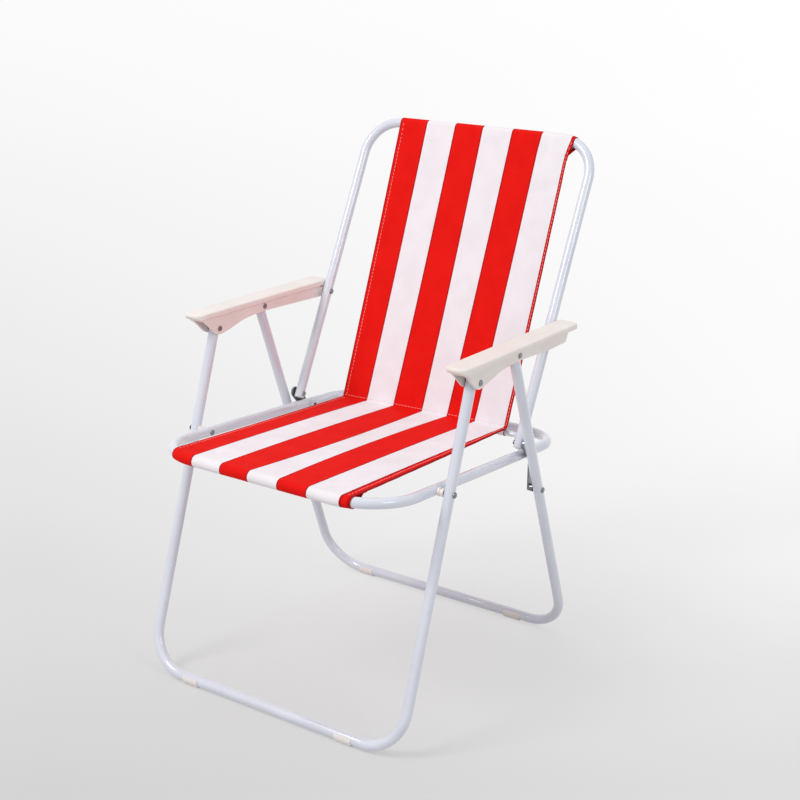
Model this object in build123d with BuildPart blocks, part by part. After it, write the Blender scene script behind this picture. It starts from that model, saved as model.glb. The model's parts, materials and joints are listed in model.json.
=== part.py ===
from build123d import *
import os
from math import acos, asin, degrees, hypot, sqrt

os.makedirs("parts", exist_ok=True)

# Folding camp chair. X runs across the chair, Y from the front to the back, Z up.
# The origin is on the floor, in the middle of the overall width and depth.
# All sizes are in millimetres, with the chair standing open.

# ---------------------------------------------------------------- driving dimensions

# tubes
tube_d = 15.0
tube_wall = 1.0

# pivots, as (y, z) in the side view
arm_front_pivot = (-100.7, 484.3)
arm_rear_pivot = (2.0, 494.6)
arm_back_pivot = (141.2, 489.5)
seat_front_pivot = (-150.9, 342.6)
seat_link_pivot = (83.8, 320.0)
back_link_pivot = (65.6, 341.0)
leg_link_pivot = (79.8, 271.8)

# half spacings of the tube centrelines
front_leg_x = 221.4
rear_leg_x = 223.4
rail_x = 197.0
back_x = 199.0

# ends and bends of the frames
pad_wrap = 1.5
back_top_z = 740.5
seat_front_y = -270.5
seat_rear_y = 191.0
front_leg_bend = 60.0
rear_leg_bend = 62.0
back_bend = 54.0
seat_front_bend = 78.0
seat_rear_bend = 58.0
leg_top_past_pivot = 8.5
rear_top_past_pivot = 7.0
back_end_past_pivot = 5.5
seam_gap = 0.6
seam_sleeve_length = 60.0
seam_sleeve_wall = 1.2

# rivets and pins
pin_r = 3.0
running_fit = 0.05
head_r = 4.2
head_h = 1.5
head_round = 1.0
small_head_r = 3.7
washer_r = 5.5
side_gap = 0.3

# link plate
plate_x = 208.0
plate_t = 2.5
plate_end_r = 8.2
plate_tip_r = 5.5
plate_crook_r = 12.0

# crease rod
crease = (114.4, 331.5)
rod_r = 4.0
rod_half = 166.0
rod_bend = 9.0
eye_r = 6.5
eye_w = 5.0

# foot pads
pad_length = 27.0
pad_lip = 4.0
front_pad_x = (-141.0, 133.5)
rear_pad_x = (-147.8, 133.5)

# cloth
cloth_t = 1.0
cloth_gap = 0.2
sleeve_run_on = 5.0
seat_cloth_x = (-156.0, 150.5)
crease_cloth_x = (-146.5, 151.0)
back_cloth_x = (-141.0, 165.0)
crease_clear = 1.2

# armrests
arm_x = 222.4
arm_top_x = 224.2
arm_inside = 18.0
arm_wall = 2.2
arm_flange = 34.4
arm_top_t = 3.0
arm_rise = 28.3
arm_slope = -0.0295
arm_lip = 7.2
arm_edge_r = 2.8
arm_cove = 3.0
arm_nose = 45.8
arm_tail = 15.3
arm_channel = 32.3
arm_corner_r = 12.0
arm_inner_corner_r = 5.0
arm_boss_r = 10.0
arm_boss_flat = 4.0
arm_chin = 5.6
arm_nose_t = 0.3
boot_t = 1.8
boot_run = 24.0
boot_crease = ((2.5, 6.0), (6.5, 15.0))
boot_flank = ((2.2, 12.0), (0.0, 4.0))
lobe_depth = 8.3
lobe_front = 15.5
lobe_flat = (-3.5, 8.0)
wall_rise = ((24.0, -5.6), (48.0, 0.0))
waist_run = (-22.0, 5.0)
outer_tail_steps = ((-57.0, -7.7), (-13.0, -7.7), (-10.0, -4.0), (-3.0, 8.0))

# plastic spacers between seat rail and front leg
spacer_r = 5.8
spacer_groove = 1.0

# ---------------------------------------------------------------- derived values

tube_r = tube_d / 2
bar_z = tube_r + pad_wrap
sleeve_in = tube_r + cloth_gap
sleeve_out = sleeve_in + cloth_t
hole_r = pin_r + running_fit


def along(start, through, z):
    """The y where the line from start through another point reaches height z."""
    return start[0] + (through[0] - start[0]) * (z - start[1]) / (through[1] - start[1])


def rail_z(y):
    """Height of the seat rail's centreline at y."""
    slope = (seat_link_pivot[1] - seat_front_pivot[1]) / (seat_link_pivot[0] - seat_front_pivot[0])
    return seat_front_pivot[1] + (y - seat_front_pivot[0]) * slope


front_bar = (along(arm_front_pivot, seat_front_pivot, bar_z), bar_z)
rear_bar = (along(arm_rear_pivot, leg_link_pivot, bar_z), bar_z)
top_bar = (along(back_link_pivot, arm_back_pivot, back_top_z), back_top_z)


def beyond(start, end, extra):
    """The point past end on the line from start, by extra."""
    length = hypot(end[0] - start[0], end[1] - start[1])
    return tuple(e + (e - s) * extra / length for s, e in zip(start, end))


def distance(a, b):
    return hypot(a[0] - b[0], a[1] - b[1])


def side_plane(origin, towards):
    """A plane across the chair: x stays X, y runs in the side view from origin towards a point."""
    dy = towards[0] - origin[0]
    dz = towards[1] - origin[1]
    return Plane(origin=(0, *origin), x_dir=(1, 0, 0), z_dir=(0, -dz, dy))


def across(x, point):
    """A plane at x whose normal runs along +X, centred on a side-view point."""
    return Plane(origin=(x, *point), x_dir=(0, 1, 0), z_dir=(1, 0, 0))


def save(builder, label):
    builder.part.label = label
    export_step(builder.part, f"parts/{label}.step")


def cut_holes(points, radius, reach):
    """Cross holes through both sides of a frame."""
    for point in points:
        with BuildSketch(across(-reach, point)) as hole:
            Circle(radius)
        extrude(hole.sketch, amount=2 * reach, mode=Mode.SUBTRACT)


def bent_tube(label, path, running, fixed):
    """A hollow tube along a wire, with holes for turning pins and tight ones for fixed pins."""
    with BuildPart() as frame:
        with BuildSketch(Plane(origin=path @ 0, z_dir=path % 0)):
            Circle(tube_r)
            Circle(tube_r - tube_wall, mode=Mode.SUBTRACT)
        sweep(path=path)
        cut_holes(running, hole_r, frame_reach)
        cut_holes(fixed, pin_r, frame_reach)
    save(frame, label)


# ---------------------------------------------------------------- tube frames

frame_reach = front_leg_x + tube_d


def u_path(bar, tip, half, bend):
    """The centreline of a U: a cross bar and two uprights that end at the tip."""
    length = distance(bar, tip)
    with BuildLine(side_plane(bar, tip)) as path:
        FilletPolyline((-half, length), (-half, 0), (half, 0), (half, length), radius=bend)
    return path.wire()


front_tip = beyond(front_bar, arm_front_pivot, leg_top_past_pivot)
rear_tip = beyond(rear_bar, arm_rear_pivot, rear_top_past_pivot)
back_end = beyond(top_bar, back_link_pivot, back_end_past_pivot)
bent_tube("front_leg_frame", u_path(front_bar, front_tip, front_leg_x, front_leg_bend),
          running=[arm_front_pivot, seat_front_pivot], fixed=[])
bent_tube("rear_leg_frame", u_path(rear_bar, rear_tip, rear_leg_x, rear_leg_bend),
          running=[arm_rear_pivot], fixed=[leg_link_pivot])
bent_tube("back_frame", u_path(top_bar, back_end, back_x, back_bend),
          running=[back_link_pivot], fixed=[arm_back_pivot])

# the seat loop closes at a butt seam in the middle of the rear bar
seat_front = (seat_front_y, rail_z(seat_front_y))
seat_rear = (seat_rear_y, rail_z(seat_rear_y))
seat_depth = distance(seat_front, seat_rear)
with BuildLine(side_plane(seat_front, seat_rear)) as seat_path:
    FilletPolyline((seam_gap / 2, seat_depth), (rail_x, seat_depth), (rail_x, 0), (-rail_x, 0),
                   (-rail_x, seat_depth), (-seam_gap / 2, seat_depth),
                   radius=[seat_rear_bend, seat_front_bend, seat_front_bend, seat_rear_bend])
bent_tube("seat_frame", seat_path.wire(), running=[seat_link_pivot], fixed=[seat_front_pivot])

with BuildPart() as seam_sleeve:
    with BuildSketch(across(-seam_sleeve_length / 2, seat_rear)):
        Circle(tube_r - tube_wall)
        Circle(tube_r - tube_wall - seam_sleeve_wall, mode=Mode.SUBTRACT)
    extrude(amount=seam_sleeve_length)
save(seam_sleeve, "seat_seam_sleeve")

# ---------------------------------------------------------------- tube end plugs

plug_depth = back_end_past_pivot - hole_r - cloth_gap
plug_rim = 1.8
plug_dome = 1.2


def plug(label, x, end, inward):
    """A plastic plug: a spigot in the tube and a domed rim over its cut end."""
    dy = end[0] - inward[0]
    dz = end[1] - inward[1]
    face = Plane(origin=(x, *end), x_dir=(1, 0, 0), z_dir=(0, dy, dz))
    with BuildPart() as piece:
        with BuildSketch(face):
            Circle(tube_r)
        extrude(amount=plug_rim)
        fillet(piece.edges().sort_by(Axis((0, 0, 0), (0, dy, dz)))[-1], radius=plug_dome)
        with BuildSketch(face):
            Circle(tube_r - tube_wall)
        extrude(amount=-plug_depth)
    save(piece, label)


for side, name in ((-1, "left"), (1, "right")):
    plug(f"front_leg_plug_{name}", side * front_leg_x, front_tip, front_bar)
    plug(f"back_plug_{name}", side * back_x, back_end, top_bar)

# ---------------------------------------------------------------- foot pads


def foot_pad(label, x, bar):
    """A clip that hugs the floor bar from below and stops short of its top."""
    with BuildPart() as piece:
        with BuildSketch(across(x - pad_length / 2, bar)):
            Circle(bar_z)
            Circle(tube_r, mode=Mode.SUBTRACT)
            with Locations((0, pad_lip + bar_z)):
                Rectangle(4 * bar_z, 2 * bar_z, mode=Mode.SUBTRACT)
        extrude(amount=pad_length)
        fillet(piece.edges().filter_by(GeomType.CIRCLE).filter_by(lambda e: e.radius > tube_r + 0.1),
               radius=pad_wrap / 3)
    save(piece, label)


for x, name in zip(front_pad_x, ("left", "right")):
    foot_pad(f"front_foot_pad_{name}", x, front_bar)
for x, name in zip(rear_pad_x, ("left", "right")):
    foot_pad(f"rear_foot_pad_{name}", x, rear_bar)

# ---------------------------------------------------------------- rivets, pins and plates


def turned(label, side, point, steps):
    """Stacked discs along X: steps are (radius, from x, to x), domed when the radius is a head's."""
    with BuildPart() as piece:
        for radius, low, high in steps:
            start, end = sorted((side * low, side * high))
            with BuildSketch(across(start, point)):
                Circle(radius)
            extrude(amount=end - start)
        for face in (piece.faces().sort_by(Axis.X)[0], piece.faces().sort_by(Axis.X)[-1]):
            rim = face.edges().filter_by(GeomType.CIRCLE)
            if rim and rim[0].radius in (head_r, small_head_r):
                fillet(rim, radius=head_round)
    save(piece, label)


def strap(*ends):
    """The hull of round ends, each a point and a radius, in the side view."""
    with BuildSketch() as hull:
        for point, radius in ends:
            with Locations(point):
                Circle(radius)
        make_hull()
    return hull.sketch


arm_inner = arm_x - arm_inside / 2
arm_outer = arm_x + arm_inside / 2
rail_in = rail_x - tube_r
rail_out = rail_x + tube_r
back_in = back_x - tube_r
back_out = back_x + tube_r
plate_out = plate_x + plate_t
boss_end = back_out + side_gap

for side, name in ((-1, "left"), (1, "right")):
    # leg tops turn on rivets held by both walls of the armrest
    for point, place, face in ((arm_front_pivot, "front", arm_outer + arm_wall + boot_t),
                               (arm_rear_pivot, "rear", arm_outer + arm_wall)):
        turned(f"arm_{place}_rivet_{name}", side, point, [
            (head_r, arm_inner - arm_wall - head_h, arm_inner - arm_wall),
            (pin_r, arm_inner - arm_wall, face),
            (head_r, face, face + head_h)])
    # the stud stays in the back tube and stops flush with its outer face
    turned(f"back_arm_stud_{name}", side, arm_back_pivot, [
        (head_r, back_in - head_h, back_in),
        (pin_r, back_in, back_out)])
    # seat rail to front leg
    leg_out = front_leg_x + tube_r
    turned(f"seat_leg_rivet_{name}", side, seat_front_pivot, [
        (head_r, rail_in - head_h, rail_in),
        (pin_r, rail_in, leg_out + side_gap),
        (head_r, leg_out + side_gap, leg_out + side_gap + head_h)])
    # pins of the link plate: shouldered against the plate
    turned(f"link_seat_pin_{name}", side, seat_link_pivot, [
        (pin_r, rail_in - side_gap - eye_w, rail_in - side_gap),
        (pin_r, rail_in - side_gap, rail_out + side_gap),
        (washer_r, rail_out + side_gap, plate_x),
        (pin_r, plate_x, plate_out + head_h / 2)])
    turned(f"link_back_pin_{name}", side, back_link_pivot, [
        (small_head_r, back_in - side_gap - head_h, back_in - side_gap),
        (pin_r, back_in - side_gap, back_out + side_gap),
        (washer_r, back_out + side_gap, plate_x),
        (pin_r, plate_x, plate_out + head_h / 2)])
    # the link's button and the rear leg's stud face each other across a running gap
    leg_in = rear_leg_x - tube_r
    meet = (plate_out + leg_in) / 2
    turned(f"link_leg_button_{name}", side, leg_link_pivot, [
        (pin_r, plate_x, plate_out),
        (washer_r, plate_out, meet - side_gap / 2)])
    turned(f"leg_link_stud_{name}", side, leg_link_pivot, [
        (washer_r, meet + side_gap / 2, leg_in),
        (pin_r, leg_in, leg_in + tube_d),
        (head_r, leg_in + tube_d, leg_in + tube_d + head_h)])

    # crooked link plate: two straps that meet at the seat pin, slim at the leg
    start = plate_x if side > 0 else -plate_out
    with BuildPart() as plate:
        with BuildSketch(Plane(origin=(start, 0, 0), x_dir=(0, 1, 0), z_dir=(1, 0, 0))) as outline:
            add(strap((back_link_pivot, plate_end_r), (seat_link_pivot, plate_end_r)))
            add(strap((seat_link_pivot, plate_end_r), (leg_link_pivot, plate_tip_r)))
            crook = outline.vertices().filter_by(lambda v: v.X < seat_link_pivot[0])
            fillet(crook.sort_by_distance(seat_link_pivot)[0], radius=plate_crook_r)
            with Locations(back_link_pivot, seat_link_pivot, leg_link_pivot):
                Circle(pin_r, mode=Mode.SUBTRACT)
        extrude(amount=plate_t)
    save(plate, f"link_plate_{name}")

    # grooved spacer on the front seat rivet
    spacer_len = front_leg_x - tube_r - side_gap - rail_out
    base = rail_out if side > 0 else -(rail_out + spacer_len)
    with BuildPart() as spacer:
        with BuildSketch(across(base, seat_front_pivot)):
            Circle(spacer_r)
            Circle(pin_r, mode=Mode.SUBTRACT)
        extrude(amount=spacer_len)
        with BuildSketch(across(base + spacer_len / 3, seat_front_pivot)):
            Circle(spacer_r)
            Circle(spacer_r - spacer_groove, mode=Mode.SUBTRACT)
        extrude(amount=spacer_len / 3, mode=Mode.SUBTRACT)
    save(spacer, f"seat_spacer_{name}")

# the crease rod: straight across, then bent forward and down to eyes on the seat pins
eye_x = rail_in - side_gap - eye_w / 2
with BuildPart() as crease_rod:
    with BuildLine() as rod_path:
        FilletPolyline((-eye_x, *seat_link_pivot), (-rod_half, *crease), (rod_half, *crease),
                       (eye_x, *seat_link_pivot), radius=rod_bend)
    with BuildSketch(Plane(origin=rod_path.wire() @ 0, z_dir=rod_path.wire() % 0)):
        Circle(rod_r)
    sweep(path=rod_path.wire())
    for x in (-eye_x, eye_x):
        with BuildSketch(across(x - eye_w / 2, seat_link_pivot)):
            Circle(eye_r)
        extrude(amount=eye_w)
        with BuildSketch(across(x - eye_w, seat_link_pivot)):
            Circle(pin_r)
        extrude(amount=2 * eye_w, mode=Mode.SUBTRACT)
save(crease_rod, "crease_rod")

# ---------------------------------------------------------------- armrests

front_y, front_z = arm_front_pivot
rear_y, rear_z = arm_rear_pivot
tail_y, tail_z = arm_back_pivot
lobe_z = front_z - lobe_depth
nose_y = front_y - arm_nose
rear_end_y = tail_y + arm_tail
channel_y = front_y - arm_channel
waist_z = rear_z - tube_r


def top_z(y):
    """Height of the armrest's flat top at y."""
    return front_z + arm_rise + arm_slope * (y - front_y)


def from_front(dy, dz):
    return (front_y + dy, front_z + dz)


def from_tail(dy, dz):
    return (tail_y + dy, tail_z + dz)


def top_outline():
    """Side view of the broad top: a lip behind that turns down into a boot round the front rivet."""
    over = nose_y - arm_lip
    chin = (channel_y, top_z(channel_y) - arm_lip - arm_chin)
    lobe = from_front(lobe_flat[0], -lobe_depth)
    heel = from_front(lobe_flat[1], -lobe_depth)
    boot_end_y = front_y + boot_run
    lip_start = (boot_end_y, top_z(boot_end_y) - arm_lip)
    lip_end = (rear_end_y, top_z(rear_end_y) - arm_lip)
    Polyline(lip_end, (rear_end_y, top_z(rear_end_y)), (over, top_z(over)),
             (over, top_z(over) - arm_nose_t), chin)
    Spline(chin, from_front(-lobe_front, 0), lobe, tangents=[(0.7, -0.6), (1, -0.25)])
    Line(lobe, heel)
    Spline(heel, *[from_front(*step) for step in boot_crease], lip_start, tangents=[(-0.3, 1), (1, 0)])
    Line(lip_start, lip_end)


def wall_outline(tail):
    """Side view of a side wall: a lobe under the front pivot, a slim waist, then its own tail."""
    chin = (channel_y, top_z(channel_y) - arm_top_t)
    low = (channel_y, top_z(channel_y) - arm_lip - arm_chin)
    waist = (rear_y + waist_run[1], waist_z)
    Polyline(waist, *tail, chin, low)
    Spline(low, from_front(-lobe_front, 0), from_front(lobe_flat[0], -lobe_depth),
           from_front(lobe_flat[1], -lobe_depth), *[from_front(*step) for step in wall_rise],
           (rear_y + waist_run[0], waist_z), waist, tangents=[(0.7, -0.6), (1, 0)])


under_top = top_z(tail_y) - arm_top_t
inner_tail = [from_tail(-arm_boss_flat, -arm_boss_r), from_tail(arm_boss_flat, -arm_boss_r),
              from_tail(arm_boss_r, -arm_boss_flat), (tail_y + arm_boss_r, under_top)]
outer_tail = [*[from_tail(*step) for step in outer_tail_steps],
              (tail_y + outer_tail_steps[-1][0], under_top)]


def plan_outline(inner, outer):
    """Plan of the broad top: straight sides and rounded corners, given its two edges."""
    corners = [(outer, nose_y), (outer, rear_end_y), (inner, rear_end_y), (inner, nose_y)]
    FilletPolyline(*corners, radius=[arm_corner_r, arm_corner_r, arm_inner_corner_r, arm_corner_r],
                   close=True)


def section_outline(side, inner, outer):
    """Section about the front rivet: the sides draw in below the lip to the faces of the walls."""
    flare = arm_rise - arm_lip
    wall_in = arm_inner - arm_wall
    wall_out = arm_outer + arm_wall + boot_t
    low = -2 * arm_lip
    high = arm_rise + arm_lip
    flank = [(side * (wall_out + out), up) for out, up in boot_flank]
    Polyline((side * inner, flare), (side * inner, high), (side * outer, high), (side * outer, flare))
    Spline((side * outer, flare), *flank, tangents=[(-side * 0.25, -1), (0, -1)])
    Polyline(flank[-1], (side * wall_out, low), (side * wall_in, low),
             (side * wall_in, flare - arm_cove), (side * inner, flare))


for side, name in ((-1, "left"), (1, "right")):
    edge_in = arm_top_x - arm_flange / 2
    edge_out = arm_top_x + arm_flange / 2
    with BuildPart() as armrest:
        with BuildSketch(across(min(side * edge_in, side * edge_out), (0, 0))):
            with BuildLine():
                top_outline()
            make_face()
        extrude(amount=arm_flange)
        # the inner wall reaches round the back pivot, the outer one ends short of it
        for tail, near, far in ((inner_tail, edge_in, arm_inner),
                                (outer_tail, arm_outer, arm_outer + arm_wall)):
            with BuildSketch(across(min(side * near, side * far), (0, 0))):
                with BuildLine():
                    wall_outline(tail)
                make_face()
            extrude(amount=far - near)
        with BuildSketch(Plane.XY.offset(lobe_z - arm_lip)):
            with BuildLine():
                plan_outline(side * edge_in, side * edge_out)
            make_face()
        extrude(amount=2 * arm_flange, mode=Mode.INTERSECT)
        # drawn across the top, so it is tilted by the top's own slope
        with BuildSketch(Plane(origin=(0, *arm_front_pivot), x_dir=(1, 0, 0),
                               z_dir=(0, -1, -arm_slope))):
            with BuildLine():
                section_outline(side, edge_in, edge_out)
            make_face()
        extrude(amount=rear_end_y - nose_y, both=True, mode=Mode.INTERSECT)
        top_face = armrest.faces().filter_by(lambda f: f.normal_at().Z > 0.9).sort_by(SortBy.AREA)[-1]
        fillet(top_face.edges(), radius=arm_edge_r)
        # the channel between the walls, open below and at the tail
        with BuildSketch(across(min(side * arm_inner, side * arm_outer), (0, 0))):
            with BuildLine():
                past = rear_end_y + arm_lip
                Polyline((channel_y, lobe_z - arm_lip), (channel_y, top_z(channel_y) - arm_top_t),
                         (past, top_z(past) - arm_top_t), (past, lobe_z - arm_lip), close=True)
            make_face()
        extrude(amount=arm_inside, mode=Mode.SUBTRACT)
        boss_faces = sorted((side * boss_end, side * (arm_inner - arm_wall)))
        with BuildSketch(across(boss_faces[0], arm_back_pivot)):
            Circle(washer_r)
        extrude(amount=boss_faces[1] - boss_faces[0])
        for point in (arm_front_pivot, arm_rear_pivot):
            with BuildSketch(across(min(side * edge_in, side * edge_out), point)):
                Circle(pin_r)
            extrude(amount=arm_flange, mode=Mode.SUBTRACT)
    save(armrest, f"armrest_{name}")

# ---------------------------------------------------------------- cloth


def along_bar(half, bend, low, high):
    """Line along a bar from x low to x high, following its bends; gives each end's set-back."""
    straight = half - bend
    set_backs = []
    for x, way in ((low, -1), (high, 1)):
        into = max(0.0, abs(x) - straight)
        if into:
            JernArc((way * straight, 0), (way, 0), bend, way * degrees(asin(into / bend)))
        set_backs.append(bend - sqrt(bend ** 2 - into ** 2))
    Line((max(low, -straight), 0), (min(high, straight), 0))
    return set_backs


def cloth(label, bar, frame_end, half, bend, bar_x, crease_x, turn, hem):
    """A closed sleeve round a bar and a flat panel from it, tangent to it, to a hem near the crease.

    turn is the way round from the line to the hem to the side of the bar the panel leaves from.
    """
    frame_plane = side_plane(bar, frame_end)
    to_hem = Vector(0, *hem) - Vector(0, *bar)
    outward = to_hem.normalized().rotate(Axis.X, turn * degrees(acos(sleeve_in / to_hem.length)))
    start = Vector(0, *bar) + outward * sleeve_in
    panel_plane = Plane(origin=start, x_dir=(1, 0, 0), z_dir=outward * turn)
    panel_length = (Vector(0, *hem) - start).length
    low, high = bar_x
    with BuildPart() as piece:
        with BuildLine(frame_plane) as bar_line:
            along_bar(half, bend, low, high)
        wire = bar_line.wire()
        with BuildSketch(Plane(origin=wire @ 0, z_dir=wire % 0)):
            Circle(sleeve_out)
        sweep(path=wire)
        with BuildSketch(panel_plane):
            with BuildLine():
                low_back, high_back = along_bar(half, bend, low, high)
                Polyline((high, high_back), (crease_x[1], panel_length), (crease_x[0], panel_length),
                         (low, low_back))
            make_face()
        extrude(amount=turn * cloth_t)
        with BuildLine(frame_plane) as tube_line:
            along_bar(half, bend, low - sleeve_run_on, high + sleeve_run_on)
        tube_wire = tube_line.wire()
        with BuildSketch(Plane(origin=tube_wire @ 0, z_dir=tube_wire % 0)):
            Circle(sleeve_in)
        sweep(path=tube_wire, mode=Mode.SUBTRACT)
    save(piece, label)


rod_clear = rod_r + crease_clear
cloth("seat_cloth", seat_front, seat_rear, rail_x, seat_front_bend, seat_cloth_x, crease_cloth_x,
      1, (crease[0] - rod_clear, crease[1] + rod_r))
cloth("back_cloth", top_bar, back_link_pivot, back_x, back_bend, back_cloth_x, crease_cloth_x,
      -1, (crease[0] - rod_r, crease[1] + rod_clear + cloth_t))
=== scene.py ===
import json
import math
import bpy
from mathutils import Matrix, Vector


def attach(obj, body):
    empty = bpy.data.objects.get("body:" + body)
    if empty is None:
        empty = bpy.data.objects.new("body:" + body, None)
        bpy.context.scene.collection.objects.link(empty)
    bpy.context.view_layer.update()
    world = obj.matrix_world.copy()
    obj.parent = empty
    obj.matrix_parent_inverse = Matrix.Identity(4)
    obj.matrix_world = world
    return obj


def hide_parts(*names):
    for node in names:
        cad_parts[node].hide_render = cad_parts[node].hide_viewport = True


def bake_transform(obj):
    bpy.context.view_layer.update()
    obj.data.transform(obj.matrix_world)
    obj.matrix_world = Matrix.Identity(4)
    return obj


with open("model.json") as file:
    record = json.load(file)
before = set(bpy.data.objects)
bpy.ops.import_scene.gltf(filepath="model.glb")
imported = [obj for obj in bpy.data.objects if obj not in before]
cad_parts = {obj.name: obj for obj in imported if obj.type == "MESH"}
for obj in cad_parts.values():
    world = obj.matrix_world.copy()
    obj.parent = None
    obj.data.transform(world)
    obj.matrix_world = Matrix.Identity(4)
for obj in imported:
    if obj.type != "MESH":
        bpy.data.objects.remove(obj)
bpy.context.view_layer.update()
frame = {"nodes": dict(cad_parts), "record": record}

MM = 0.001

# ---------------------------------------------------------------- sizes, in millimetres

TUBE_R = 7.5
SEAT_FRONT = (-270.5, 354.1169)
RAIL_DIR = (0.995396, -0.095851)
SEAT_HALF, SEAT_BEND = 197.0, 78.0
TOP_BAR = (269.0, 740.5)
BACK_DIR = (-0.45367, -0.89117)
BACK_HALF, BACK_BEND = 199.0, 54.0
ROD = (114.4, 331.5)
ROD_R = 4.0
CLOTH_T = 0.8
WRAP_GAP = 0.25
WRAP_R = TUBE_R + WRAP_GAP + CLOTH_T / 2
LAYER = CLOTH_T * 1.15
# the seam between the slings lies a little lower and further forward at the left
CREASE_LEFT, CREASE_RIGHT = (107.8, 333.8), (111.5, 340.5)

# edges of the stripes along the cloth's width, and where each edge lies across the chair
STRIPES = (0.0, 50.0, 100.0, 150.0, 200.0, 250.0, 300.0, 308.0)
CREASE_EDGES = (-146.5, -100.5, -51.5, 2.0, 46.0, 95.5, 146.0, 151.0)
SEAT_EDGES = (-156.0, -113.0, -63.5, -14.8, 35.0, 84.5, 134.0, 150.5)
BACK_EDGES = (-141.0, -91.2, -40.8, 9.2, 59.8, 109.8, 156.0, 160.0)
SEAT_DRIFT = (0.0, -4.5, -6.0, 3.0, -8.5, -3.5, -4.0, 0.0)
BACK_DRIFT = (0.0,) * len(STRIPES)
SEAT_FLARE, BACK_FLARE = 0.0, 5.5
FLARE_FROM = 0.92
SEAT_SAG, BACK_SAG = 1.5, 2.5

# the grid of points over a sling
ACROSS_CELLS = 60
ROW_PITCH = 9
WRAP_STEPS = 30
UNDER_SHARES = (0.35, 0.7, 0.92)
UNDER_TAIL = (0, 4, 9)
PUCKER = 0.25
PUCKER_WAVES = (97, 61)

# hems and stitches
HEM_REACH = 20.0
HEM_WIDTH = 12.0
SIDE_SEAM = 6.5
RIGHT_SEAM = 304.0
CREASE_SEAM = 3.2
SEAM_STEPS = 40
SEAM_ENDS = (0.01, 0.99)
EDGE_INSET = 0.3
HEM_SEAM_PAST = 2
SIDE_HEM_CELLS = 4
SIDE_HEM_START, SIDE_HEM_END = 0.02, 12
SIDE_HEM_PITCH = 12
STITCH_PITCH = 5.6
STITCH_SIDES = 6
# rings of one stitch: reach along the seam, radius, and how deep it sinks
THREAD_RINGS = ((-2.1, 0.1, 0.3), (-1.6, 0.34, 0.05), (1.6, 0.34, 0.05), (2.1, 0.1, 0.3))

# the pocket round the rod
POCKET_R = ROD_R + 0.3 + CLOTH_T / 2
POCKET_INSET = 7.0
POCKET_STEPS = 32
POCKET_MOUTH, POCKET_TURN = 34, 292
POCKET_LOW_END, POCKET_HIGH_END = (-0.2, -1.2), (0.9, 0.1)

# where each sling goes over from its own body to the link, in metres
SEAT_BLEND = ((0, 0.062, 0.340), (0, 0.1085, 0.337))
BACK_BLEND = ((0, 0.133, 0.398), (0, 0.1105, 0.3385))

# ---------------------------------------------------------------- colours, as display values

PAINT = ((214, 218, 231), (221, 225, 236))
IVORY = ((236, 227, 222), (241, 234, 230))
PLUG = ((212, 210, 204), (226, 224, 218))
STEEL = ((104, 106, 110), (156, 158, 162))
STITCH = ((236, 178, 176), (246, 204, 202))
RED = ((229, 14, 6), (236, 19, 10))
PALE = ((241, 234, 239), (246, 240, 245))
CLOSING_RED = (160, 7, 12)

# the weave: stripe width, how far a stripe's edge wanders, thread pitch,
# and where the closing thread ends and has faded out
STRIPE = 50 * MM
WANDER = 0.25 * MM
THREAD_PITCH = 0.55 * MM
CLOSING_FROM, CLOSING_TO = 1.5 * MM, 2.4 * MM
CLOSING_SHARE = 0.9

# ---------------------------------------------------------------- camera, light and floor

F_PX, VIEW_PX = 1504.6, 800
SENSOR = 36.0
FAR_CLIP = 100
CAMERA_AT = (1.20767, -1.67519, 1.10029)
AZ, EL, ROLL = (math.radians(v) for v in (34.93, 19.074, -0.236))
WORLD_LIGHT, WORLD_SEEN = 0.62, 0.95
# lamps: name, place, aim, size and power
LAMPS = (
    ("key", (-1.1, -1.9, 2.7), (0, 0, 0.4), 1.25, 42),
    ("top", (0.2, 0.2, 3.4), (0, 0, 0), 2.4, 6),
    ("side", (2.6, -0.6, 1.8), (0, 0, 0.4), 1.2, 12),
)
FLOOR_HALF = 60
FLOOR_SEEN, FLOOR_BOUNCE = 0.30, 0.65
# painted light on the floor, brighter far off and darker near the view: its brightness by how
# steeply the view meets it, at the view's left and right
LEFT_PAINTED_LIGHT = ((0.08, 0.775), (0.15, 0.738), (0.38, 0.521), (0.47, 0.452), (0.66, 0.346))
RIGHT_PAINTED_LIGHT = ((0.08, 0.815), (0.15, 0.805), (0.30, 0.734), (0.47, 0.66),
               (0.56, 0.514), (0.66, 0.441))
VIEW_HALF_SLOPE = 0.27
NEAREST = 0.5
# painted light on the floor behind the view, which only reflections see
BEHIND_PAINTED_LIGHT = 0.62
BEHIND_FADE = (0.7, 1.5)

# ---------------------------------------------------------------- node materials


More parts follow.
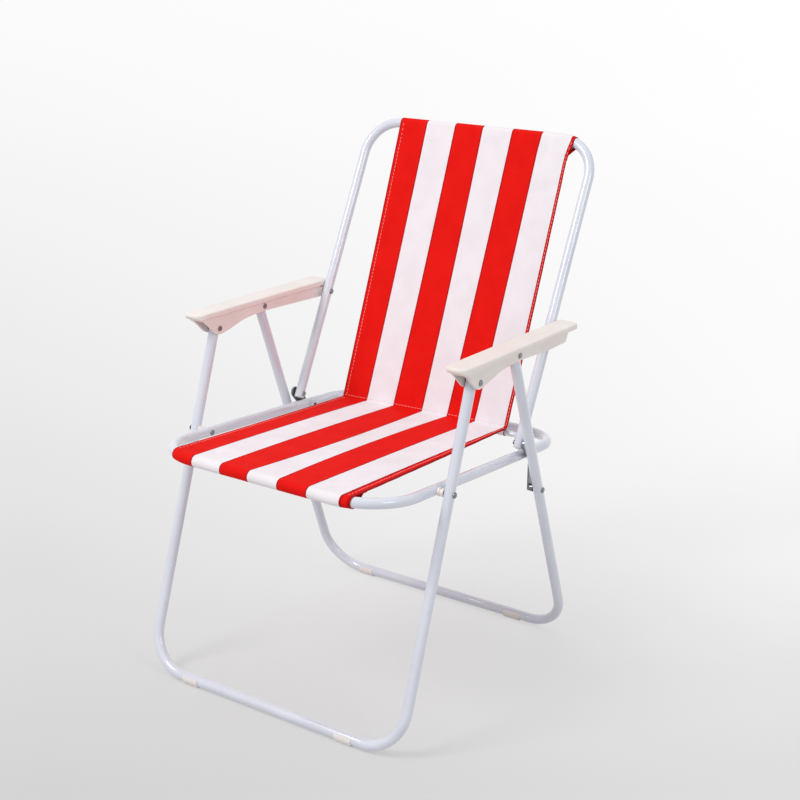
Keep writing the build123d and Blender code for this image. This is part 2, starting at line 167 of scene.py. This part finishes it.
class Nodes:
    """A small helper that builds a shader tree."""

    def __init__(self, name):
        self.material = bpy.data.materials.new(name)
        self.material.use_nodes = True
        self.tree = self.material.node_tree
        self.tree.nodes.clear()
        self.out = self.add("ShaderNodeOutputMaterial")
        self.shader = self.add("ShaderNodeBsdfPrincipled")
        self.link(self.shader.outputs[0], self.out.inputs[0])

    def add(self, kind, **values):
        node = self.tree.nodes.new(kind)
        for key, value in values.items():
            setattr(node, key, value)
        return node

    def link(self, source, target):
        self.tree.links.new(source, target)

    def set(self, **values):
        for key, value in values.items():
            self.shader.inputs[key.replace("_", " ")].default_value = value

    def coordinates(self):
        return self.add("ShaderNodeTexCoord").outputs["Object"]

    def noise(self, vector, scale, detail=3.0, roughness=0.5):
        node = self.add("ShaderNodeTexNoise")
        node.inputs["Scale"].default_value = scale
        node.inputs["Detail"].default_value = detail
        node.inputs["Roughness"].default_value = roughness
        self.link(vector, node.inputs["Vector"])
        return node.outputs["Fac"]

    def map(self, value, low, high, start=0.0, end=1.0):
        node = self.add("ShaderNodeMapRange")
        for key, number in (("From Min", start), ("From Max", end),
                            ("To Min", low), ("To Max", high)):
            node.inputs[key].default_value = number
        self.link(value, node.inputs["Value"])
        return node.outputs["Result"]

    def math(self, operation, a, b=None):
        node = self.add("ShaderNodeMath", operation=operation)
        for socket, value in zip(node.inputs, (a, b)):
            if value is None:
                continue
            if isinstance(value, (int, float)):
                socket.default_value = value
            else:
                self.link(value, socket)
        return node.outputs[0]

    def ramp(self, value, stops):
        """Grey levels at given values, with straight lines between them."""
        node = self.add("ShaderNodeValToRGB")
        elements = node.color_ramp.elements
        while len(elements) < len(stops):
            elements.new(0.5)
        for element, (place, grey) in zip(elements, stops):
            element.position = place
            element.color = (grey, grey, grey, 1.0)
        self.link(value, node.inputs[0])
        return node.outputs[0]

    def mix(self, factor, a, b):
        node = self.add("ShaderNodeMix", data_type="RGBA")
        for name, value in (("Factor", factor), ("A", a), ("B", b)):
            socket = [s for s in node.inputs if s.name == name and s.enabled][0]
            if isinstance(value, (int, float)):
                socket.default_value = value
            elif isinstance(value, tuple):
                socket.default_value = (*value, 1.0)
            else:
                self.link(value, socket)
        return [s for s in node.outputs if s.enabled][0]

    def tint(self, factor, tones):
        """The surface's colour, mottled between two tones."""
        colour = self.mix(factor, srgb(*tones[0]), srgb(*tones[1]))
        self.link(colour, self.shader.inputs["Base Color"])

    def bump(self, height, strength, distance):
        node = self.add("ShaderNodeBump")
        node.inputs["Strength"].default_value = strength
        node.inputs["Distance"].default_value = distance
        self.link(height, node.inputs["Height"])
        self.link(node.outputs[0], self.shader.inputs["Normal"])


def srgb(*rgb):
    """Linear colour from 0-255 display values."""
    return tuple((v / 255 / 12.92) if v <= 10 else ((v / 255 + 0.055) / 1.055) ** 2.4
                 for v in rgb)


def paint():
    n = Nodes("white_paint")
    at = n.coordinates()
    n.tint(n.map(n.noise(at, 14, 4), 0, 1, 0.35, 0.65), PAINT)
    n.link(n.map(n.noise(at, 60, 5), 0.14, 0.22), n.shader.inputs["Roughness"])
    n.set(Coat_Weight=1.0, Coat_Roughness=0.04)
    n.bump(n.noise(at, 420, 2), 0.06, 0.0003)
    return n.material


def plastic():
    n = Nodes("ivory_plastic")
    at = n.coordinates()
    n.tint(n.map(n.noise(at, 22, 5), 0, 1, 0.35, 0.65), IVORY)
    n.link(n.map(n.noise(at, 120, 4), 0.38, 0.5), n.shader.inputs["Roughness"])
    n.set(Subsurface_Weight=0.05, Subsurface_Scale=0.004)
    n.bump(n.noise(at, 1500, 3), 0.18, 0.0003)
    return n.material


def plug_plastic():
    n = Nodes("plug_plastic")
    at = n.coordinates()
    n.tint(n.noise(at, 40, 3), PLUG)
    n.link(n.map(n.noise(at, 120, 4), 0.4, 0.55), n.shader.inputs["Roughness"])
    n.bump(n.noise(at, 1500, 3), 0.2, 0.0003)
    return n.material


def steel():
    n = Nodes("zinc_steel")
    at = n.coordinates()
    n.tint(n.noise(at, 260, 4), STEEL)
    n.link(n.map(n.noise(at, 700, 4), 0.16, 0.3), n.shader.inputs["Roughness"])
    n.set(Metallic=1.0)
    n.bump(n.noise(at, 1300, 3), 0.25, 0.0002)
    return n.material


def thread():
    n = Nodes("thread")
    at = n.coordinates()
    n.tint(n.noise(at, 900, 2), STITCH)
    n.set(Roughness=0.6)
    n.bump(n.noise(at, 4000, 2), 0.4, 0.0002)
    return n.material


def cloth_material():
    """Red and white stripes woven along the cloth, with a plain weave."""
    n = Nodes("striped_cloth")
    uv = n.add("ShaderNodeUVMap", uv_map="cloth").outputs[0]
    split = n.add("ShaderNodeSeparateXYZ")
    n.link(uv, split.inputs[0])
    u, v = split.outputs[0], split.outputs[1]
    at = n.coordinates()
    # the edge of each stripe wanders by a thread or so
    wander = n.map(n.noise(at, 700, 2), -WANDER, WANDER)
    place = n.math("ADD", u, wander)
    steps = [n.math("GREATER_THAN", place, edge * MM) for edge in STRIPES[1:-1]]
    total = steps[0]
    for step in steps[1:]:
        total = n.math("ADD", total, step)
    white = n.math("MODULO", total, 2.0)
    patch = n.map(n.noise(at, 35, 5), 0, 1, 0.35, 0.65)
    red = n.mix(patch, srgb(*RED[0]), srgb(*RED[1]))
    pale = n.mix(patch, srgb(*PALE[0]), srgb(*PALE[1]))
    # a darker thread closes each red stripe and the cloth's right edge
    border = n.math("ABSOLUTE", n.math("SUBTRACT", place, STRIPES[-1] * MM))
    near = n.math("MINIMUM", n.math("PINGPONG", place, STRIPE / 2), border)
    closing = n.map(near, CLOSING_SHARE, 0.0, CLOSING_FROM, CLOSING_TO)
    red = n.mix(closing, red, srgb(*CLOSING_RED))
    base = n.mix(white, red, pale)
    # plain weave: warp and weft threads that pass over each other in turn
    turns = 2 * math.pi / THREAD_PITCH
    warp = n.math("SINE", n.math("MULTIPLY", u, turns))
    weft = n.math("SINE", n.math("MULTIPLY", v, turns))
    weave = n.math("MULTIPLY", warp, weft)
    shade = n.map(weave, 0.93, 1.04, -1.0, 1.0)
    dark = n.add("ShaderNodeMix", data_type="RGBA", blend_type="MULTIPLY")
    dark.inputs[0].default_value = 1.0
    colours = [s for s in dark.inputs if s.type == "RGBA"]
    n.link(base, colours[0])
    n.link(shade, colours[1])
    woven = [s for s in dark.outputs if s.type == "RGBA"][0]
    n.link(woven, n.shader.inputs["Base Color"])
    n.link(n.map(n.noise(at, 90, 4), 0.7, 0.85), n.shader.inputs["Roughness"])
    n.set(Specular_IOR_Level=0.12)
    creases = n.math("MULTIPLY", n.noise(at, 180, 3), 0.8)
    n.bump(n.math("ADD", n.math("MULTIPLY", weave, 0.5), creases), 0.25, 0.0003)
    return n.material


MATERIALS = {
    "white_tube": paint(),
    "ivory_plastic": plastic(),
    "plug_plastic": plug_plastic(),
    "zinc_steel": steel(),
}
THREAD = thread()
CLOTH = cloth_material()

slots = {p["node"]: p["material_slot"] for p in frame["record"]["subparts"]}
for node, obj in frame["nodes"].items():
    look = MATERIALS.get(slots[node])
    if look:
        for s in obj.material_slots:
            s.material = look
        if not obj.material_slots:
            obj.data.materials.append(look)

# ---------------------------------------------------------------- cloth


def lerp(a, b, t):
    return a + (b - a) * t


def rotate(y, z, angle):
    """A side-view direction turned by an angle, and made one long."""
    length = math.hypot(y, z)
    c, s = math.cos(angle) / length, math.sin(angle) / length
    return (y * c - z * s, y * s + z * c)


def knots(value, places, results):
    """Straight-line interpolation between knots."""
    for i in range(1, len(places) - 1):
        if value <= places[i]:
            break
    else:
        i = len(places) - 1
    share = (value - places[i - 1]) / (places[i] - places[i - 1])
    return lerp(results[i - 1], results[i], share)


def crease_at(x):
    """The seam between the slings, in side view, at a distance across the chair."""
    share = (x - CREASE_EDGES[0]) / (CREASE_EDGES[-1] - CREASE_EDGES[0])
    return [lerp(a, b, share) for a, b in zip(CREASE_LEFT, CREASE_RIGHT)]


class Panel:
    """A sling: flat from the crease to a bar, round it, and stitched back to its underside."""

    def __init__(self, bar, direction, half, bend, edges, drift, flare, turn, sag):
        self.bar, self.direction, self.half, self.bend = bar, direction, half, bend
        self.edges, self.drift, self.flare, self.sag = edges, drift, flare, sag
        self.up = rotate(*direction, turn * math.pi / 2)
        hem = crease_at(0)
        reach = (hem[0] - bar[0], hem[1] - bar[1])
        self.length = math.sqrt(math.hypot(*reach) ** 2 - WRAP_R ** 2)
        self.normal = rotate(*reach, turn * math.acos(WRAP_R / math.hypot(*reach)))
        start = [bar[i] + WRAP_R * self.normal[i] for i in (0, 1)]
        along = [(hem[i] - start[i]) / self.length for i in (0, 1)]
        foot = [start[i] + along[i] * HEM_REACH - self.normal[i] * LAYER - bar[i]
                for i in (0, 1)]
        inner = rotate(*foot, -turn * math.acos(WRAP_R / math.hypot(*foot)))
        self.first = self.angle(self.normal)
        self.last = self.angle(inner) % (2 * math.pi)

    def angle(self, normal):
        """Angle round the bar, from the frame's own normal towards the bar's far side."""
        return math.atan2(-(normal[0] * self.direction[0] + normal[1] * self.direction[1]),
                          normal[0] * self.up[0] + normal[1] * self.up[1])

    def across(self, u, t):
        """Where the thread at u along the cloth's width lies across the chair, at a share t."""
        x = lerp(knots(u, STRIPES, CREASE_EDGES), knots(u, STRIPES, self.edges), t)
        x += knots(u, STRIPES, self.drift) * 4 * t * (1 - t)
        spread = max(0.0, (t - FLARE_FROM) / (1 - FLARE_FROM)) ** 2
        return x + self.flare * spread * max(0.0, u / STRIPES[-1] * 2 - 1) ** 3

    def round_bar(self, x, angle):
        """The point on the bar's sleeve at x and at an angle round the bar."""
        ring = self.bend + WRAP_R * math.sin(angle)
        lean = math.asin(max(0.0, abs(x) - (self.half - self.bend)) / ring)
        back = self.bend - ring * math.cos(lean)
        lift = WRAP_R * math.cos(angle)
        return Vector((x, self.bar[0] + self.direction[0] * back + self.up[0] * lift,
                       self.bar[1] + self.direction[1] * back + self.up[1] * lift))

    def flat(self, u, t, under=0.0):
        """The point at a share t of the way from the crease to the bar, or a distance under it."""
        low = self.across(u, 0)
        high = self.round_bar(self.across(u, 1), self.first)
        point = Vector((low, *crease_at(low))).lerp(high, t)
        point.x = self.across(u, t)
        c = u / STRIPES[-1]
        drop = self.sag * 4 * t * (1 - t) * (1 - 0.5 * (2 * c - 1) ** 2) + under
        ripple = math.sin(c * PUCKER_WAVES[0]) * math.sin(t * PUCKER_WAVES[1])
        drop += PUCKER * ripple * (abs(2 * t - 1) ** 3 + abs(2 * c - 1) ** 5)
        return point - Vector((0, *self.normal)) * drop

    def sheet(self):
        """Rows of points over the whole sling."""
        count = round(self.length / ROW_PITCH)
        rows = [[self.flat(u, i / count) for u in COLUMNS] for i in range(count)]
        for i in range(WRAP_STEPS + 1):
            angle = lerp(self.first, self.last, i / WRAP_STEPS)
            rows.append([self.round_bar(self.across(u, 1), angle) for u in COLUMNS])
        inner = rows[-1]
        foot = [self.flat(u, 1 - HEM_REACH / self.length, LAYER) for u in COLUMNS]
        for t in UNDER_SHARES:
            rows.append([a.lerp(b, t) for a, b in zip(inner, foot)])
        for extra in UNDER_TAIL:
            t = 1 - (HEM_REACH + extra) / self.length
            rows.append([self.flat(u, t, LAYER) for u in COLUMNS])
        return rows


def travelled(rows):
    """The length along the middle of the cloth at each row."""
    middle = len(rows[0]) // 2
    total, lengths = 0.0, [0.0]
    for a, b in zip(rows, rows[1:]):
        total += (b[middle] - a[middle]).length
        lengths.append(total)
    return lengths


def mesh_piece(name, verts, faces, material, smooth=50):
    mesh = bpy.data.meshes.new(name)
    mesh.from_pydata([tuple(v * MM) for v in verts], [], faces)
    mesh.update()
    for polygon in mesh.polygons:
        polygon.use_smooth = True
    mesh.set_sharp_from_angle(angle=math.radians(smooth))
    mesh.materials.append(material)
    obj = bpy.data.objects.new(name, mesh)
    bpy.context.collection.objects.link(obj)
    return obj


def thin_sheet(name, points, columns):
    """A closed thin sheet over a grid of points, with its cut coordinates as a UV map."""
    rows, cols = len(points), len(points[0])
    normals = []
    for r in range(rows):
        line = []
        for c in range(cols):
            along = points[min(r + 1, rows - 1)][c] - points[max(r - 1, 0)][c]
            side = points[r][min(c + 1, cols - 1)] - points[r][max(c - 1, 0)]
            line.append(side.cross(along).normalized())
        normals.append(line)
    verts = []
    for sign in (1, -1):
        for r in range(rows):
            for c in range(cols):
                verts.append(points[r][c] + normals[r][c] * (CLOTH_T / 2 * sign))
    layer = rows * cols
    faces = []
    for r in range(rows - 1):
        for c in range(cols - 1):
            a = r * cols + c
            quad = (a, a + 1, a + cols + 1, a + cols)
            faces.append(quad)
            faces.append(tuple(v + layer for v in reversed(quad)))
    edge = list(range(cols))
    edge += [r * cols + cols - 1 for r in range(1, rows)]
    edge += [(rows - 1) * cols + c for c in range(cols - 2, -1, -1)]
    edge += [r * cols for r in range(rows - 2, 0, -1)]
    for a, b in zip(edge, edge[1:] + edge[:1]):
        faces.append((b, a, a + layer, b + layer))
    obj = mesh_piece(name, verts, faces, CLOTH)
    uv = obj.data.uv_layers.new(name="cloth")
    flat = [(u * MM, v * MM) for v in travelled(points) for u in columns]
    for loop in obj.data.loops:
        uv.data[loop.index].uv = flat[loop.vertex_index % layer]
    return obj


def side_hem(name, panel, low, high):
    """The cloth's side folded under: a second layer along one edge of the flat panel."""
    columns = [lerp(low, high, i / SIDE_HEM_CELLS) for i in range(SIDE_HEM_CELLS + 1)]
    end = 1 - (HEM_REACH + SIDE_HEM_END) / panel.length
    count = round(panel.length / SIDE_HEM_PITCH)
    rows = [[panel.flat(u, lerp(SIDE_HEM_START, end, i / count), LAYER) for u in columns]
            for i in range(count + 1)]
    return thin_sheet(name, rows, columns)


def stitches(name, lines, plain=False):
    """Short threads lying along lines of points; plain ones take the colour below them."""
    verts, faces, cut = [], [], []
    sides = STITCH_SIDES
    for line, threads, lift in lines:
        total = sum((b - a).length for a, b in zip(line, line[1:]))
        count = int(total / STITCH_PITCH)
        for i in range(count):
            centre, ahead, u = place_on(line, threads, (i + 0.5) * total / count)
            out = (lift - ahead * lift.dot(ahead)).normalized()
            beside = ahead.cross(out)
            base = len(verts)
            for reach, size, sink in THREAD_RINGS:
                for k in range(sides):
                    a = 2 * math.pi / sides * k
                    verts.append(centre + ahead * reach + out * (CLOTH_T / 2 - sink)
                                 + (out * math.sin(a) + beside * math.cos(a)) * size)
                    cut.append((u * MM, 0.0))
            rings = len(THREAD_RINGS)
            for r in range(rings - 1):
                ring = base + r * sides
                for k in range(sides):
                    a, b = ring + k, ring + (k + 1) % sides
                    faces.append((a, b, b + sides, a + sides))
            faces.append(tuple(base + k for k in range(sides - 1, -1, -1)))
            faces.append(tuple(base + (rings - 1) * sides + k for k in range(sides)))
    obj = mesh_piece(name, verts, faces, CLOTH if plain else THREAD, 80)
    if plain:
        uv = obj.data.uv_layers.new(name="cloth")
        for loop in obj.data.loops:
            uv.data[loop.index].uv = cut[loop.vertex_index]
    return obj


def place_on(line, threads, distance):
    """The point, direction and u at a distance along a line of points."""
    for i in range(len(line) - 1):
        step = (line[i + 1] - line[i]).length
        if distance <= step or i == len(line) - 2:
            share = distance / step
            ahead = (line[i + 1] - line[i]).normalized()
            u = lerp(threads[i], threads[i + 1], share)
            return line[i].lerp(line[i + 1], share), ahead, u
        distance -= step


def seam(panel, path):
    """A row of stitches along a path of (u, share) places, seen from both faces of the cloth."""
    up = Vector((0, *panel.normal))
    threads = [u for u, t in path]
    return [([panel.flat(*place) for place in path], threads, up),
            ([panel.flat(*place, LAYER) for place in path], threads, -up)]


STEPS = [i / SEAM_STEPS for i in range(SEAM_STEPS + 1)]
WIDTH = STRIPES[-1]
COLUMNS = [WIDTH * i / ACROSS_CELLS for i in range(ACROSS_CELLS + 1)]
SEAT_PANEL = Panel(SEAT_FRONT, RAIL_DIR, SEAT_HALF, SEAT_BEND,
                   SEAT_EDGES, SEAT_DRIFT, SEAT_FLARE, 1, SEAT_SAG)
BACK_PANEL = Panel(TOP_BAR, BACK_DIR, BACK_HALF, BACK_BEND,
                   BACK_EDGES, BACK_DRIFT, BACK_FLARE, -1, BACK_SAG)

for place, panel, node, blend, rests in (
        ("seat", SEAT_PANEL, "seat_cloth", SEAT_BLEND, "seat_frame"),
        ("back", BACK_PANEL, "back_cloth", BACK_BLEND, "back_frame")):
    sling_rows = panel.sheet()
    sling = thin_sheet(f"{place}_sling", sling_rows, COLUMNS)
    hem_row = 1 - (HEM_REACH + HEM_SEAM_PAST) / panel.length
    crease_row = CREASE_SEAM / panel.length
    sides = [line for u in (SIDE_SEAM, RIGHT_SEAM)
             for line in seam(panel, [(u, lerp(crease_row, hem_row, t)) for t in STEPS])]
    sides += [seam(panel, [(u, lerp(hem_row, 1, t)) for t in STEPS])[0]
              for u in (SIDE_SEAM, RIGHT_SEAM)]
    crossing = seam(panel, [(WIDTH * lerp(*SEAM_ENDS, t), crease_row) for t in STEPS])
    hems = seam(panel, [(WIDTH * lerp(*SEAM_ENDS, t), hem_row) for t in STEPS])
    if place == "back":
        sides += crossing
    else:
        hems += crossing
    extras = [side_hem(f"{place}_hem_left", panel, EDGE_INSET, HEM_WIDTH),
              side_hem(f"{place}_hem_right", panel, WIDTH - HEM_WIDTH, WIDTH - EDGE_INSET),
              stitches(f"{place}_stitches", sides),
              stitches(f"{place}_hem_stitches", hems, plain=True)]
    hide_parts(node)
    for piece in (sling, *extras):
        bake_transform(piece)
    bar_width = panel.across(WIDTH, 1) - panel.across(0, 1)
    length = travelled(sling_rows)[-1]

# ---------------------------------------------------------------- crease pocket


def pocket_column(x):
    """Points of the pocket round the rod at x, both ends held in the seam between the slings."""
    y, z = crease_at(x)
    entry = math.atan2(z - ROD[1], y - ROD[0])
    spots = [(y + POCKET_LOW_END[0], z + POCKET_LOW_END[1])]
    for i in range(POCKET_STEPS + 1):
        a = entry + math.radians(POCKET_MOUTH + POCKET_TURN * i / POCKET_STEPS)
        spots.append((ROD[0] + POCKET_R * math.cos(a), ROD[1] + POCKET_R * math.sin(a)))
    spots.append((y + POCKET_HIGH_END[0], z + POCKET_HIGH_END[1]))
    return [Vector((x, *spot)) for spot in spots]


pocket_threads = [lerp(POCKET_INSET, WIDTH - POCKET_INSET, i / ACROSS_CELLS)
                  for i in range(ACROSS_CELLS + 1)]
pocket_columns = [pocket_column(knots(u, STRIPES, CREASE_EDGES)) for u in pocket_threads]
pocket_rows = [list(row) for row in zip(*pocket_columns)]
pocket = thin_sheet("crease_pocket", pocket_rows, pocket_threads)
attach(pocket, "rear_link")
travelled(pocket_rows)[-1] * MM

# ---------------------------------------------------------------- view and light

camera_data = bpy.data.cameras.new("camera")
camera_data.sensor_width = SENSOR
camera_data.lens = F_PX / VIEW_PX * SENSOR
camera_data.clip_end = FAR_CLIP
camera = bpy.data.objects.new("camera", camera_data)
bpy.context.collection.objects.link(camera)
look = Vector((-math.sin(AZ) * math.cos(EL), math.cos(AZ) * math.cos(EL), -math.sin(EL)))
right = look.cross(Vector((0, 0, 1))).normalized()
up = right.cross(look)
right, up = (math.cos(ROLL) * right + math.sin(ROLL) * up,
             -math.sin(ROLL) * right + math.cos(ROLL) * up)
camera.matrix_world = Matrix(((right.x, up.x, -look.x, CAMERA_AT[0]),
                              (right.y, up.y, -look.y, CAMERA_AT[1]),
                              (right.z, up.z, -look.z, CAMERA_AT[2]),
                              (0, 0, 0, 1)))
bpy.context.scene.camera = camera
bpy.context.scene.view_settings.view_transform = "Standard"

world = bpy.data.worlds.new("studio")
bpy.context.scene.world = world
world.use_nodes = True
backdrop = world.node_tree.nodes["Background"]
backdrop.inputs["Color"].default_value = (1.0, 1.0, 1.0, 1.0)


def seen_by_view(tree):
    """One for rays that the view or a reflection sends, else none."""
    path = tree.nodes.new("ShaderNodeLightPath")
    total = path.outputs["Is Camera Ray"]
    for name in ("Is Glossy Ray", "Is Transmission Ray"):
        larger = tree.nodes.new("ShaderNodeMath")
        larger.operation = "MAXIMUM"
        tree.links.new(total, larger.inputs[0])
        tree.links.new(path.outputs[name], larger.inputs[1])
        total = larger.outputs[0]
    return total


world_links = world.node_tree.links
strength = world.node_tree.nodes.new("ShaderNodeMapRange")
strength.inputs["To Min"].default_value = WORLD_LIGHT
strength.inputs["To Max"].default_value = WORLD_SEEN
world_links.new(seen_by_view(world.node_tree), strength.inputs["Value"])
world_links.new(strength.outputs["Result"], backdrop.inputs["Strength"])

for name, lamp_at, aim, size, power in LAMPS:
    data = bpy.data.lights.new(name, "AREA")
    data.shape = "DISK"
    data.size = size
    data.energy = power
    lamp = bpy.data.objects.new(name, data)
    bpy.context.collection.objects.link(lamp)
    lamp.location = lamp_at
    lamp.rotation_euler = (Vector(aim) - Vector(lamp_at)).to_track_quat("-Z", "Y").to_euler()

# ---------------------------------------------------------------- floor

# the floor takes half its brightness from the light and half from painted light, a glow that only
# the view sees, brighter far off and darker near the view
floor_mesh = bpy.data.meshes.new("floor")
corners = [(x * FLOOR_HALF, y * FLOOR_HALF, 0) for x, y in ((-1, -1), (1, -1), (1, 1), (-1, 1))]
floor_mesh.from_pydata(corners, [], [(0, 1, 2, 3)])
floor = bpy.data.objects.new("floor", floor_mesh)
bpy.context.collection.objects.link(floor)
n = Nodes("floor")
n.set(Roughness=0.95, Specular_IOR_Level=0.0)
spot = n.add("ShaderNodeSeparateXYZ")
n.link(n.coordinates(), spot.inputs[0])
eye = camera.matrix_world.translation


def travel(direction):
    """How far a spot on the floor lies from the camera's foot, along a level direction."""
    x_part = n.math("MULTIPLY", spot.outputs[0], direction[0])
    y_part = n.math("MULTIPLY", spot.outputs[1], direction[1])
    total = n.math("ADD", x_part, y_part)
    return n.math("SUBTRACT", total, eye.x * direction[0] + eye.y * direction[1])


away = travel((-math.sin(AZ), math.cos(AZ)))
over = travel((math.cos(AZ), math.sin(AZ)))
steep = n.math("DIVIDE", eye.z, n.math("MAXIMUM", away, NEAREST))
aside = n.math("DIVIDE", over, n.math("MAXIMUM", away, NEAREST))
# the floor's painted light, between its levels at the view's left and right
painted_floor_light = n.mix(n.map(aside, 0.0, 1.0, -VIEW_HALF_SLOPE, VIEW_HALF_SLOPE),
             n.ramp(steep, LEFT_PAINTED_LIGHT), n.ramp(steep, RIGHT_PAINTED_LIGHT))
painted_floor_light = n.mix(n.map(away, 0.0, 1.0, *BEHIND_FADE), (BEHIND_PAINTED_LIGHT,) * 3, painted_floor_light)
n.link(painted_floor_light, n.shader.inputs["Emission Color"])
seen = seen_by_view(n.tree)
n.link(seen, n.shader.inputs["Emission Strength"])
n.link(n.mix(seen, (FLOOR_BOUNCE,) * 3, (FLOOR_SEEN,) * 3), n.shader.inputs["Base Color"])
floor_mesh.materials.append(n.material)
